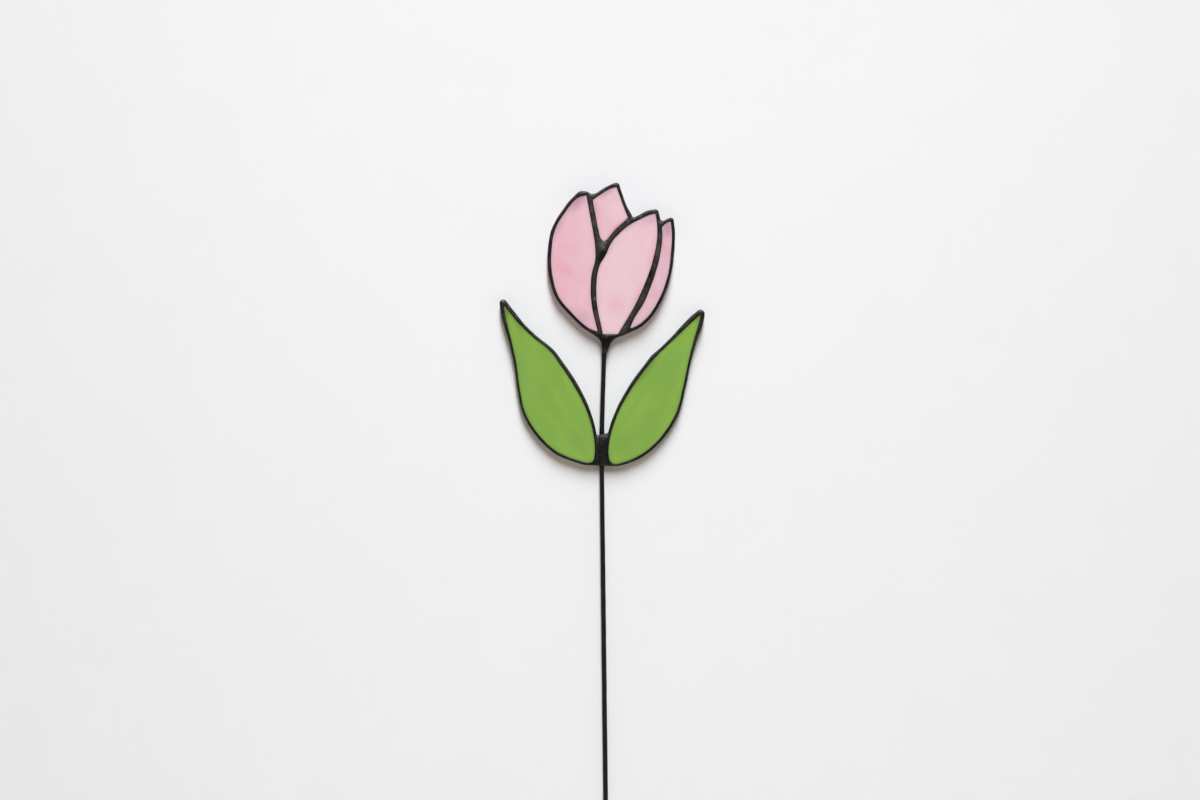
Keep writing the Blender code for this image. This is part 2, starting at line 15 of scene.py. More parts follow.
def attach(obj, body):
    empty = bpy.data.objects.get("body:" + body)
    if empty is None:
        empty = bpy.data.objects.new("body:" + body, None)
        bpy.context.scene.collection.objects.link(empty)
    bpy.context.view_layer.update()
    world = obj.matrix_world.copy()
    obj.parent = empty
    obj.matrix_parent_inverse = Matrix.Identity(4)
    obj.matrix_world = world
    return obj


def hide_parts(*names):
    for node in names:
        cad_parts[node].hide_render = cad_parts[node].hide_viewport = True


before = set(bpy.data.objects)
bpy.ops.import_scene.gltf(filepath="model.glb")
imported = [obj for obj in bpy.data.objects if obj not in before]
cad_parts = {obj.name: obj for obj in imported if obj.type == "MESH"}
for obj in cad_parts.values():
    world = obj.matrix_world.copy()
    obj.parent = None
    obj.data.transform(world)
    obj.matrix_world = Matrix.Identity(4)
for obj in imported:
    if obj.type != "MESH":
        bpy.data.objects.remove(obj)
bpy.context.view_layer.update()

# The petals. Four panes of pink opal sheet glass, cut along drawn lines and ground at the edge. They lie
# side by side in one plane, with just enough room between them for foil and solder. Each side of an
# outline runs from corner to corner through its points, in millimetres from the rod's top end.
MILLIMETRE = 0.001
GLASS_THICKNESS = 0.0030
GLASS_CORNER_RADIUS = 0.0008
SOLDER_OVERLAP = 0.00100
WINDOW_CORNER_RADIUS = 0.0003
GLASS_GRID = 0.0012
ROLLER_WAVE = 0.016
ROLLER_DEPTH = 0.00002
STEP = 0.0003
SAME_PLACE = 0.000001
LOWER_STEM_LENGTH = 0.2478
UPPER_STEM_LENGTH = 0.0573
UPPER_STEM_LEAN = math.radians(2.38)
BEND = np.array([0.0, LOWER_STEM_LENGTH])
ROD_TOP = BEND + UPPER_STEM_LENGTH * np.array([math.sin(UPPER_STEM_LEAN), math.cos(UPPER_STEM_LEAN)])

PETAL_OUTLINES = {
    "left": [
        [(-8.4, 81.2), (-15.0, 79.0), (-21.8, 71.4), (-28.0, 60.8), (-30.2, 47.5), (-29.9, 35.6),
         (-26.3, 22.8), (-19.0, 13.5), (-9.8, 4.9), (-2.3, 1.8)],
        [(-2.3, 1.8), (-4.2, 9.5), (-5.8, 17.2), (-6.5, 26.0), (-5.7, 36.0), (-3.8, 43.0), (-3.6, 49.6),
         (-4.7, 60.0), (-6.6, 71.3), (-8.4, 81.2)],
    ],
    "back": [
        [(8.2, 85.6), (3.6, 84.1), (-2.2, 80.8), (-6.9, 77.5)],
        [(-6.9, 77.5), (-5.35, 69.0), (-3.85, 60.6), (-2.2, 54.8), (0.4, 52.9), (2.8, 54.3), (4.6, 56.5),
         (7.8, 60.2), (11.0, 63.0), (15.1, 66.6)],
        [(15.1, 66.6), (12.7, 73.9), (10.2, 80.4), (8.2, 85.6)],
    ],
    "front": [
        [(30.0, 70.4), (24.8, 69.0), (18.4, 66.1), (12.4, 62.6), (7.3, 57.9), (4.6, 55.0), (2.4, 51.4),
         (0.4, 46.8), (-3.0, 41.3), (-4.8, 34.0), (-5.3, 24.5), (-4.5, 15.0), (-3.0, 7.6), (-1.7, 0.9)],
        [(-1.7, 0.9), (8.1, 0.9)],
        [(8.1, 0.9), (12.9, 8.7), (17.8, 17.0), (22.7, 27.0), (26.7, 37.0), (29.7, 47.6), (31.1, 56.0),
         (31.0, 64.0), (30.0, 70.4)],
    ],
    "right": [
        [(38.6, 66.0), (35.2, 64.8), (31.8, 62.2)],
        [(31.8, 62.2), (31.7, 54.5), (29.7, 43.2), (26.4, 32.0), (21.5, 20.0), (15.6, 10.5), (12.6, 3.4)],
        [(12.6, 3.4), (18.6, 5.5), (24.6, 10.2), (30.1, 17.8), (34.8, 27.5), (37.6, 36.5), (39.0, 47.0),
         (39.5, 57.0), (38.6, 66.0)],
    ],
}


def smooth_side(points, samples=24):
    """A centripetal Catmull-Rom curve: between each two points a cubic whose slopes at its ends are those
    of the parabolas through three points, with the square roots of their distances as the parameter."""
    points = np.array(points, dtype=float)
    knots = np.vstack([2 * points[0] - points[1], points, 2 * points[-1] - points[-2]])
    before, start, end, after = knots[:-3], knots[1:-2], knots[2:-1], knots[3:]
    into, over, out = [np.sqrt(np.linalg.norm(b - a, axis=1))[:, None]
                       for a, b in ((before, start), (start, end), (end, after))]
    start_slope = ((start - before) / into - (end - before) / (into + over) + (end - start) / over) * over
    end_slope = ((end - start) / over + (after - end) / out - (after - start) / (over + out)) * over
    t = np.linspace(0, 1, samples, endpoint=False)[:, None]
    start, end, start_slope, end_slope = [side[:, None, :] for side in (start, end, start_slope, end_slope)]
    curve = ((2 * t**3 - 3 * t**2 + 1) * start + (t**3 - 2 * t**2 + t) * start_slope
             + (3 * t**2 - 2 * t**3) * end + (t**3 - t**2) * end_slope)
    return curve.reshape(-1, 2)


def placed(points, origin):
    """Points drawn in millimetres, in metres and set out from their origin."""
    return np.array(points) * MILLIMETRE + origin


def drawn_outline(sides, origin):
    """A pane's outline as drawn, with sharp corners between its sides."""
    return np.vstack([smooth_side(placed(side, origin)) for side in sides])


def even_steps(loop, fewest_points=8):
    """The same closed loop with its points one STEP apart, read off against the distance travelled."""
    closed = np.vstack([loop, loop[:1]])
    travelled = np.r_[0, np.cumsum(np.linalg.norm(np.diff(closed, axis=0), axis=1))]
    count = max(fewest_points, int(travelled[-1] / STEP))
    places = np.linspace(0, travelled[-1], count, endpoint=False)
    return np.column_stack([np.interp(places, travelled, closed[:, axis]) for axis in (0, 1)])


def distance_to(loop, points, batch_size=100):
    """How far each point lies from the nearest edge of a closed loop: the least of its distances to the
    nearest place on each edge. Points are complex numbers here, and are taken a batch at a time."""
    start = loop @ (1, 1j)
    edge = np.roll(start, -1) - start
    towards = np.conj(edge) / np.abs(edge)**2
    nearest = []
    for batch in np.array_split(points @ (1, 1j), len(points) // batch_size + 1):
        away = batch[:, None] - start
        along = np.clip((away * towards).real, 0, 1)
        nearest.append(np.abs(away - along * edge).min(axis=1))
    return np.concatenate(nearest)


def inside(loop, points):
    """Whether a ray to the right of each point crosses the loop an odd number of times."""
    start, end = loop, np.roll(loop, -1, axis=0)
    x, z = points[:, :1], points[:, 1:]
    rise = end[:, 1] - start[:, 1]
    spans = (start[:, 1] > z) != (end[:, 1] > z)
    crossing = start[:, 0] + (z - start[:, 1]) * (end - start)[:, 0] / np.where(rise == 0, 1, rise)
    return (spans & (x < crossing)).sum(axis=1) % 2 == 1


FAN_ANGLE = math.radians(12)
SHARPEST_MITRE = math.radians(115)


def offset(loop, distance):
    """The loop moved out by the distance, or in where it is negative. Each corner moves along its
    bisector, or along a fan of normals on the side that opens, and what then lies nearer than the
    distance to some other edge is left out."""
    edge = np.roll(loop, -1, axis=0) - loop
    leaving = np.arctan2(-edge[:, 0], edge[:, 1])
    arriving = np.roll(leaving, 1)
    turn = (leaving - arriving + np.pi) % (2 * np.pi) - np.pi
    opens = turn * distance > 0
    kept = opens | (np.abs(turn) < SHARPEST_MITRE)
    loop, arriving, turn, opens = loop[kept], arriving[kept], turn[kept], opens[kept]
    fan = np.where(opens, np.ceil(np.abs(turn) / FAN_ANGLE).astype(int) + 1, 1)
    corner = np.repeat(np.arange(len(loop)), fan)
    step = np.arange(len(corner)) - np.repeat(np.cumsum(fan) - fan, fan)
    share = np.where(opens[corner], step / np.maximum(fan[corner] - 1, 1), 0.5)
    angle = arriving[corner] + turn[corner] * share
    reach = np.where(opens[corner], distance, distance / np.cos(turn[corner] / 2))
    moved = loop[corner] + reach[:, None] * np.column_stack([np.cos(angle), np.sin(angle)])
    return even_steps(moved[distance_to(loop, moved) > abs(distance) - SAME_PLACE])


def inset(loop, distance, corner_radius):
    """A loop moved in by the distance, with its corners rounded."""
    return offset(offset(loop, -distance - corner_radius), corner_radius)


# Shares of a spacing: how near two points of a plan may come, and how far apart the rows of a grid are
NEAREST = 0.6
ROW = 0.866


def rows_along(loop, millimetres, others):
    """Rows of points that follow a loop at set distances and stay clear of the other loops."""
    rows = [offset(loop, distance * MILLIMETRE) for distance in millimetres]
    clear = [np.all([distance_to(other, row) > NEAREST * STEP for other in others], axis=0) if others
             else np.ones(len(row), dtype=bool) for row in rows]
    return [row[keep] for row, keep in zip(rows, clear)]


def filling(outer, openings, spacing, taken, batch_size=100):
    """A grid of points in rows set half a step apart, kept where it lies in the outer loop, out of the
    openings and clear of the points already taken."""
    low, high = outer.min(axis=0), outer.max(axis=0)
    x, z = np.meshgrid(np.arange(low[0], high[0], spacing), np.arange(low[1], high[1], spacing * ROW))
    x[::2] += spacing / 2
    grid = np.column_stack([x.ravel(), z.ravel()])
    grid = grid[inside(outer, grid)]
    for opening in openings:
        grid = grid[~inside(opening, grid)]
    batches = np.array_split(grid @ (1, 1j), len(grid) // batch_size + 1)
    nearest = [np.abs(batch[:, None] - taken @ (1, 1j)).min(axis=1) for batch in batches]
    return grid[np.concatenate(nearest) > NEAREST * spacing]


def plan_sheet(name, outer, openings, rows, spacing, height, readings):
    """A closed body that is alike in front and behind. Its plan is the outer loop without the openings,
    and each point (x, z) of the plan stands at y = -height(x, z) in front and at +height(x, z) behind.
    A wall joins both faces along every edge, and each reading is kept on the points by its name."""
    loops = [outer, *openings]
    starts = np.cumsum([0, *map(len, loops)])
    edges = np.vstack([np.column_stack([start + np.arange(len(loop)),
                                        start + (np.arange(len(loop)) + 1) % len(loop)])
                       for start, loop in zip(starts, loops)])
    taken = np.vstack([*loops, *rows])
    points = np.vstack([taken, filling(outer, openings, spacing, taken)]) / MILLIMETRE
    tolerance = 1e-5
    plan, _, faces, _, _, _ = delaunay_2d_cdt(points.tolist(), edges.tolist(), [], 0, tolerance)
    plan = np.array([tuple(point) for point in plan]) * MILLIMETRE
    faces = np.array(faces)
    middles = plan[faces].mean(axis=1)
    solid = inside(outer, middles)
    for opening in openings:
        solid &= ~inside(opening, middles)
    used, faces = np.unique(faces[solid], return_inverse=True)
    plan, faces = plan[used], faces.reshape(-1, 3)
    y = height(plan)
    flat = y == 0
    behind = np.where(flat, np.arange(len(plan)), len(plan) + np.cumsum(~flat) - 1)
    front_points = np.column_stack([plan[:, 0], -y, plan[:, 1]])
    back_points = np.column_stack([plan[:, 0], y, plan[:, 1]])[~flat]
    sides = np.vstack([faces[:, [0, 1]], faces[:, [1, 2]], faces[:, [2, 0]]])
    key = sides[:, 0] * len(plan) + sides[:, 1]
    turned = sides[:, 1] * len(plan) + sides[:, 0]
    start, end = sides[~np.isin(key, turned)].T
    wall = np.column_stack([end, start, behind[start], behind[end]])
    both, one, other = (~flat[start] & ~flat[end]), (flat[start] & ~flat[end]), (~flat[start] & flat[end])
    polygons = [*faces.tolist(), *behind[faces[:, ::-1]].tolist(), *wall[both].tolist(),
                *wall[one][:, [0, 1, 3]].tolist(), *wall[other][:, [0, 1, 2]].tolist()]
    mesh = bpy.data.meshes.new(name)
    mesh.from_pydata(np.vstack([front_points, back_points]).tolist(), [], polygons)
    mesh.shade_smooth()
    for reading, values in readings(plan, y).items():
        stored = mesh.attributes.new(reading, "FLOAT", "POINT")
        stored.data.foreach_set("value", np.r_[values, values[~flat]].astype(np.float32))
    sheet = bpy.data.objects.new(name, mesh)
    bpy.context.scene.collection.objects.link(sheet)
    return sheet


def ripple(points, length, seed):
    """A swell over the plan between about -1 and 1: a sum of five sines over 2.6. From one to the next their
    direction turns by 2.4 radians, and their wave shortens from 1.33 times the length to 0.81 times."""
    wave = np.arange(5)
    turn = 2.4 * wave + seed
    pace = 2 * np.pi / length * (0.75 + 0.12 * wave)
    ways = np.stack([np.cos(turn), np.sin(turn)]) * pace
    return np.sin(points @ ways + 5.3 * turn).sum(axis=1) / 2.6


class Reading:
    """The value on a shader socket. Sums, products and powers of readings add Math nodes."""

    def __init__(self, nodes, socket):
        self.nodes = nodes
        self.socket = socket

    def maths(self, operation, *values):
        return self.nodes.node("ShaderNodeMath", {"operation": operation}, dict(enumerate(values)))

    def __add__(self, other):
        return self.maths("ADD", self, other)

    def __sub__(self, other):
        return self.maths("SUBTRACT", self, other)

    def __rsub__(self, other):
        return self.maths("SUBTRACT", other, self)

    def __mul__(self, other):
        return self.maths("MULTIPLY", self, other)

    def __pow__(self, other):
        return self.maths("POWER", self, other)

    __radd__ = __add__
    __rmul__ = __mul__


class Nodes:
    """The nodes of a material or of the room round the object."""

    def __init__(self, owner):
        owner.use_nodes = True
        self.tree = owner.node_tree

    def node(self, kind, settings, inputs, output=0):
        """A new node's output, with its settings set and its sockets fed with readings or values."""
        node = self.tree.nodes.new(kind)
        for setting, value in settings.items():
            setattr(node, setting, value)
        for socket, value in inputs.items():
            if isinstance(value, Reading):
                self.tree.links.new(value.socket, node.inputs[socket])
            else:
                node.inputs[socket].default_value = value
        return Reading(self, node.outputs[output])

    def mixed(self, share, first, second):
        """The first colour where the share is 0, the second where it is 1."""
        colours = [(*colour, 1) if isinstance(colour, tuple) else colour for colour in (first, second)]
        return self.node("ShaderNodeMix", {"data_type": "RGBA"}, {0: share, 6: colours[0], 7: colours[1]}, 2)

    def show(self, shader):
        self.tree.links.new(shader.socket, self.tree.get_output_node("ALL").inputs["Surface"])


class Finish(Nodes):
    """A material with one Principled shader."""

    def __init__(self, name, constants):
        self.material = bpy.data.materials.new(name)
        super().__init__(self.material)
        self.shader = self.tree.nodes["Principled BSDF"]
        for socket, value in constants.items():
            self.shader.inputs[socket].default_value = value
        self.place = self.node("ShaderNodeTexCoord", {}, {}, "Object")

    def feed(self, socket, reading):
        self.tree.links.new(reading.socket, self.shader.inputs[socket])

    def stored(self, name):
        """A reading kept on the mesh's points."""
        return self.node("ShaderNodeAttribute", {"attribute_name": name}, {}, "Fac")

    def drawn_out(self, turn, stretch):
        """The place on the object, drawn out along a line that is turned from upright to the right."""
        return self.node("ShaderNodeMapping", {"vector_type": "TEXTURE"},
                         {"Vector": self.place, "Rotation": (0, math.radians(turn), 0),
                          "Scale": (1, 1, stretch)})

    def facing_up(self):
        """How far the surface is turned towards the sky: 1 where level, 0 where upright, -1 underneath."""
        facing = self.node("ShaderNodeNewGeometry", {}, {}, "Normal")
        return self.node("ShaderNodeSeparateXYZ", {}, {0: facing}, "Z")

    def noise(self, scale, detail=3.0, place=None, distortion=0.0):
        return self.node("ShaderNodeTexNoise", {}, {"Vector": place or self.place, "Scale": scale,
                                                    "Detail": detail, "Distortion": distortion})

    def between(self, reading, low, high):
        """0 below low, 1 above high and a smooth step from one to the other."""
        return self.node("ShaderNodeMapRange", {"interpolation_type": "SMOOTHSTEP"},
                         {"Value": reading, "From Min": low, "From Max": high})

    def spot(self, centre, reach, turn):
        """1 at a place on the plan, fading to 0 at an ellipse of the given half axes round it."""
        local = self.node("ShaderNodeMapping", {"vector_type": "TEXTURE"},
                          {"Vector": self.place, "Location": (centre[0], 0, centre[1]),
                           "Rotation": (0, math.radians(turn), 0), "Scale": (reach[0], 1, reach[1])})
        away = self.node("ShaderNodeVectorMath", {"operation": "LENGTH"}, {0: local}, "Value")
        return 1 - self.between(away, 0.0, 1.0)

    def raised(self, relief, distance):
        """A bump in the surface that many metres high, fed to the shader's normal."""
        self.feed("Normal", self.node("ShaderNodeBump", {}, {"Strength": 1.0, "Distance": distance,
                                                             "Height": relief}))


def opal_glass(name, tints, edge_shade, streaks, spots, origin):
    """Opal glass: a body colour with paler wisps drawn out along one direction, spots of the other tints,
    a fine mottle, and a painted shade next to the solder. A spot is a tint, a centre and two half axes
    in millimetres, a turn in degrees and a strength."""
    finish = Finish(name, {"IOR": 1.52})
    streaked = finish.drawn_out(streaks, 4.0)
    wisps = finish.between(finish.noise(100, 3.0, streaked, 0.8), 0.40, 0.72)
    colour = finish.mixed(wisps * 0.8, tints["body"], tints["pale"])
    cloud = 0.45 + 1.1 * finish.noise(200, 2.0, streaked)
    for tint, centre, reach, turn, strength in spots:
        half_axes = [MILLIMETRE * half for half in reach]
        share = finish.spot(placed(centre, origin), half_axes, turn) * strength * cloud
        colour = finish.mixed(share, colour, tints[tint])
    mottle = finish.noise(900, 2.0)
    colour = finish.mixed(0.08 * mottle, colour, tints["deep"])
    # Painted shade: next to the solder the glass is darkened towards the pane's darkest tint.
    shade_near_solder = (1 - finish.between(finish.stored("from_edge"), -0.3, 2.4)) ** 1.6
    finish.feed("Base Color", finish.mixed(shade_near_solder * edge_shade, colour, tints["painted_shade"]))
    finish.feed("Roughness", 0.16 + 0.14 * finish.noise(70, 2.0))
    finish.raised(finish.noise(110, 2.0) + 0.05 * mottle, 0.00012)
    return finish.material


def glass_pane(name, outline, window, surface):
    """A pane: half its thickness high over its whole plan, but for a slow ripple left by the rollers. On
    its points it keeps how many millimetres they lie in from the window's edge."""
    rows = rows_along(outline, [-0.5], [])
    rows += rows_along(window, [-0.4, -0.9, -1.6, -2.6], [])

    def height(plan):
        return GLASS_THICKNESS / 2 - ROLLER_DEPTH * (1 + ripple(plan, ROLLER_WAVE, len(name)))

    def readings(plan, y):
        depth = distance_to(window, plan) * np.where(inside(window, plan), 1, -1)
        return {"from_edge": depth / MILLIMETRE}

    pane = plan_sheet(name + "_glass", outline, [], [*rows, window], GLASS_GRID, height, readings)
    pane.data.materials.append(surface)
    pane.data.set_sharp_from_angle(angle=math.radians(40))
    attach(pane, "root")
    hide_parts(name)


# The last tint of each pane is a painted shade, used next to the solder and under the rims.
PETAL_TINTS = {
    "left": {"body": (0.832, 0.520, 0.584), "pale": (0.852, 0.590, 0.642), "deep": (0.820, 0.320, 0.420),
             "painted_shade": (0.470, 0.280, 0.370)},
    "back": {"body": (0.826, 0.540, 0.598), "pale": (0.856, 0.605, 0.655), "deep": (0.800, 0.340, 0.430),
             "painted_shade": (0.470, 0.280, 0.370)},
    "front": {"body": (0.848, 0.580, 0.628), "pale": (0.868, 0.628, 0.668), "deep": (0.800, 0.380, 0.460),
              "painted_shade": (0.500, 0.310, 0.410)},
    "right": {"body": (0.762, 0.490, 0.556), "pale": (0.805, 0.552, 0.612), "deep": (0.720, 0.330, 0.420),
              "painted_shade": (0.440, 0.270, 0.360)},
}
PETAL_STREAKS = {"left": 14, "back": -20, "front": -16, "right": -22}
# Spots of the darkest tint are painted shade under the rims and along the seams; the pale and deep spots are
# the glass's own colour.
PETAL_SPOTS = {
    "left": [
        ("pale", (-10.0, 64.0), (6.0, 16.0), -8, 0.60),
        ("pale", (-9.0, 47.0), (6.0, 13.0), 0, 0.65),
        ("deep", (-25.5, 40.0), (7.0, 20.0), 5, 0.22),
        ("deep", (-24.5, 27.0), (7.0, 11.0), -10, 0.24),
        ("deep", (-19.3, 49.7), (8.0, 7.0), 20, 0.20),
        ("deep", (-21.6, 38.2), (9.5, 6.0), 40, 0.42),
        ("deep", (-13.0, 33.0), (6.0, 6.0), 0, 0.16),
        ("deep", (-16.0, 20.0), (9.0, 8.0), 0, 0.14),
        ("painted_shade", (-15.0, 76.5), (14.0, 6.5), -42, 0.86),
        ("painted_shade", (-25.5, 62.0), (4.5, 14.0), 28, 0.50),
        ("painted_shade", (-12.0, 11.0), (13.0, 7.0), 38, 0.36),
    ],
    "back": [
        ("pale", (6.5, 71.0), (6.5, 9.0), -15, 0.80),
        ("deep", (7.4, 61.2), (9.0, 3.0), -42, 0.50),
        ("deep", (-3.0, 70.0), (4.0, 9.0), -12, 0.25),
        ("painted_shade", (2.0, 82.0), (9.0, 4.2), -30, 0.60),
        ("painted_shade", (-4.5, 73.0), (3.0, 7.0), -12, 0.35),
    ],
    "front": [
        ("pale", (9.0, 38.0), (10.0, 22.0), 12, 0.60),
        ("deep", (7.5, 18.4), (9.5, 8.5), 0, 0.33),
        ("deep", (27.5, 47.0), (3.6, 14.0), 15, 0.44),
        ("deep", (18.0, 22.0), (3.5, 13.0), 27, 0.38),
        ("deep", (-2.0, 22.0), (3.0, 14.0), 0, 0.15),
        ("painted_shade", (3.4, 49.5), (9.0, 2.6), -48, 0.38),
        ("painted_shade", (15.0, 62.5), (10.0, 2.8), -30, 0.36),
        ("painted_shade", (26.0, 66.0), (9.0, 6.0), -20, 0.45),
    ],
    "right": [
        ("deep", (34.1, 48.4), (4.0, 6.0), 0, 0.30),
        ("deep", (27.6, 23.6), (4.5, 2.6), -30, 0.26),
        ("deep", (35.4, 58.5), (4.5, 8.0), 0, 0.52),
        ("painted_shade", (36.0, 61.5), (5.0, 7.5), 0, 0.58),
        ("pale", (22.0, 15.0), (6.0, 9.0), 40, 0.40),
    ],
}
petals = {side: drawn_outline(sides, ROD_TOP) for side, sides in PETAL_OUTLINES.items()}
petal_panes = {side: inset(drawn, 0, GLASS_CORNER_RADIUS) for side, drawn in petals.items()}
petal_windows = {side: inset(drawn, SOLDER_OVERLAP, WINDOW_CORNER_RADIUS) for side, drawn in petals.items()}
for side, outline in petal_panes.items():
    pink_opal = opal_glass(f"pink_opal_{side}", PETAL_TINTS[side], 0.38, PETAL_STREAKS[side],
                           PETAL_SPOTS[side], ROD_TOP)
    glass_pane(f"petal_{side}", outline, petal_windows[side], pink_opal)

# The leaves. Two panes of yellow-green opal glass with long points, cut from one sheet with its streaks
# running up the leaf. They stand in the same plane as the petals, one on each side of the rod, and are
# drawn from the foot of the solder that joins them to it.
LEAF_DROP = 0.0145
LEAF_FOOT = BEND - np.array([0.0, LEAF_DROP])
LEAF_OUTLINES = {
    "left": [
        [(-55.2, 94.6), (-54.1, 85.0), (-50.4, 69.0), (-48.1, 57.5), (-46.3, 43.0), (-43.3, 29.6),
         (-36.1, 17.5), (-26.1, 7.8), (-14.0, 2.5), (-7.4, 1.0), (-4.2, 2.2), (-2.9, 6.5), (-3.5, 18.0),
         (-7.2, 31.5), (-14.2, 46.0), (-22.2, 58.2), (-26.0, 63.7), (-30.3, 67.9), (-37.2, 73.4),
         (-46.3, 82.7), (-55.2, 94.6)],
    ],
    "right": [
        [(57.9, 87.2), (49.0, 79.0), (38.5, 69.3), (29.2, 60.3), (19.2, 47.8), (9.0, 30.8), (4.0, 16.5),
         (2.9, 7.0), (4.0, 2.0), (7.2, 0.1), (12.0, 0.9), (23.2, 5.6), (34.0, 14.8), (42.8, 28.8),
         (46.9, 43.0), (49.9, 56.6), (53.3, 69.8), (56.6, 80.6), (57.9, 87.2)],
    ],
}
# The last tint is a painted shade, used next to the solder and under the rims.
LEAF_TINTS = {
    "body": (0.226, 0.412, 0.066),
    "pale": (0.266, 0.458, 0.072),
    "deep": (0.188, 0.384, 0.094),
    "painted_shade": (0.085, 0.150, 0.050),
}
LEAF_STREAKS = {"left": -27, "right": 30}
# Spots of the darkest tint are painted shade along the rims and at the tips; the pale and deep spots are the
# glass's own colour.
LEAF_SPOTS = {
    "left": [
        ("pale", (-23.5, 37.0), (3.6, 15.0), -26, 0.70),
        ("deep", (-14.0, 14.0), (9.0, 9.0), 0, 0.25),
        ("painted_shade", (-14.0, 14.0), (12.0, 12.0), 0, 0.08),
        ("deep", (-33.0, 44.7), (3.6, 11.0), -27, 0.45),
        ("deep", (-44.4, 58.0), (5.0, 20.0), -5, 0.45),
        ("deep", (-26.0, 18.0), (2.6, 13.0), -40, 0.40),
        ("painted_shade", (-46.0, 80.0), (2.4, 12.0), -32, 0.20),
        ("painted_shade", (-53.0, 88.0), (3.4, 8.0), -12, 0.65),
    ],
    "right": [
        ("pale", (16.0, 34.0), (3.6, 13.0), 34, 0.75),
        ("pale", (28.0, 38.0), (9.0, 12.0), 30, 0.42),
        ("deep", (24.0, 27.0), (13.0, 2.2), -24, 0.45),
        ("deep", (41.0, 56.0), (8.0, 16.0), 20, 0.35),
        ("deep", (12.0, 12.0), (8.0, 9.0), 20, 0.20),
        ("painted_shade", (12.0, 12.0), (10.0, 11.0), 0, 0.08),
        ("painted_shade", (24.5, 52.5), (3.8, 16.0), 42, 0.42),
        ("painted_shade", (45.0, 74.5), (3.0, 12.0), 45, 0.16),
        ("painted_shade", (55.5, 82.5), (3.0, 6.0), 35, 0.50),
    ],
}
leaves = {side: drawn_outline(sides, LEAF_FOOT) for side, sides in LEAF_OUTLINES.items()}
leaf_panes = {side: inset(drawn, 0, GLASS_CORNER_RADIUS) for side, drawn in leaves.items()}
leaf_windows = {side: inset(drawn, SOLDER_OVERLAP, WINDOW_CORNER_RADIUS) for side, drawn in leaves.items()}
for side, outline in leaf_panes.items():
    green_opal = opal_glass(f"green_opal_{side}", LEAF_TINTS, 0.30, LEAF_STREAKS[side],
                            LEAF_SPOTS[side], LEAF_FOOT)
    glass_pane(f"leaf_{side}", outline, leaf_windows[side], green_opal)

# The foil. Thin copper tape pressed round each pane's edge and rubbed down on both faces, so that solder
# will hold there. All of it ends up under the solder.
foil = Finish("burnished_copper", {"Metallic": 1.0})
tarnish = foil.between(foil.noise(320, 4.0), 0.42, 0.70)
foil.feed("Base Color", foil.mixed(tarnish, (0.84, 0.45, 0.30), (0.42, 0.20, 0.13)))
foil.feed("Roughness", 0.26 + 0.22 * tarnish)
foil.raised(foil.noise(1400, 2.0), 0.00004)
for name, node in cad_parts.items():
    if name.startswith("foil_"):
        node.data.materials.clear()
        node.data.materials.append(foil.material)

# The head's solder. Tin solder is run over all the foil in one skin: a round bead on free edges, a
# domed seam between panes, and a funnel at the bottom that takes the rod. Patina then turns it black.
SOLDER_GRID = 0.00045
BEAD_HEIGHT = 0.00179
CREST_RISE = 0.30 * BEAD_HEIGHT
SOLDER_CROWN = 0.0027
SOLDER_SPREAD = 0.0006
PETAL_FILLET = 0.0016
PETAL_BEAD = 0.0009
BORE_RADIUS = 0.0013
BEND_RADIUS = 0.750
# Slow lumps: how high as a share of the solder's height, how long, and the seed
LUMPS = [
    (0.035, 0.0075, 1.0),
    (0.025, 0.0034, 4.0),
]
# What the bead follows: a pane's edge from one place to another, or a line through points
HEAD_EDGE = [
    ("left", (-8.4, 81.2), (-9.4, 4.7)),
    [(-7.6, 3.4), (-5.0, 1.75), (-2.9, 0.3), (-1.7, -1.9), (-0.95, -5.0), (-0.70, -7.2), (-0.75, -8.8)],
    [(0.25, -8.8), (1.20, -6.8), (2.0, -4.8), (2.8, -2.9), (4.65, -0.6), (6.75, 0.6), (10.3, 1.8)],
    ("right", (15.5, 4.3), (31.8, 62.2)),
    ("front", (30.0, 70.4), (16.0, 65.0)),
    ("back", (15.1, 66.6), (-6.9, 77.5)),
]
# Sections of the fill round the rod: how far up, how far past the bore sideways and in front, how far
# its middle lies to the right of the rod's, and how square it is
FUNNEL = [
    (-9.8, 0.10, 0.10, 0.00, 2.0),
    (-8.4, 0.34, 0.22, 0.18, 2.0),
    (-7.0, 0.62, 0.36, 0.40, 2.0),
    (-5.2, 1.00, 0.52, 0.66, 2.1),
    (-3.4, 1.58, 0.70, 0.85, 2.3),
    (-2.2, 1.90, 0.80, 1.00, 2.5),
    (-0.9, 1.70, 0.55, 1.20, 3.0),
    (0.6, 1.20, 0.0, 1.40, 3.0),
]


def rod_middle(z):
    """The x of the rod's middle: upright below its bend, an arc through it and leaning above it."""
    half_bend = BEND_RADIUS * math.tan(UPPER_STEM_LEAN / 2)
    arc_height = BEND_RADIUS * math.sin(UPPER_STEM_LEAN)
    above = z - (LOWER_STEM_LENGTH - half_bend)
    on_arc = BEND_RADIUS - np.sqrt(BEND_RADIUS**2 - np.clip(above, 0, arc_height)**2)
    past = np.maximum(above - arc_height, 0)
    return on_arc + past * math.tan(UPPER_STEM_LEAN)


def stretch(loop, start, end):
    """The part of a closed loop between the points nearest to two places."""
    first, last = [np.linalg.norm(loop - place, axis=1).argmin() for place in (start, end)]
    return loop[(first + np.arange((last - first) % len(loop) + 1)) % len(loop)]


def bead_outline(edge, panes, bead, fillet, origin):
    """The outer edge of the solder: the bead's width out from what it follows, with a fillet in notches."""
    followed = [
        smooth_side(placed(item, origin)) if isinstance(item, list)
        else stretch(panes[item[0]], *placed(item[1:], origin))
        for item in edge
    ]
    return offset(offset(np.vstack(followed), bead + fillet), -fillet)


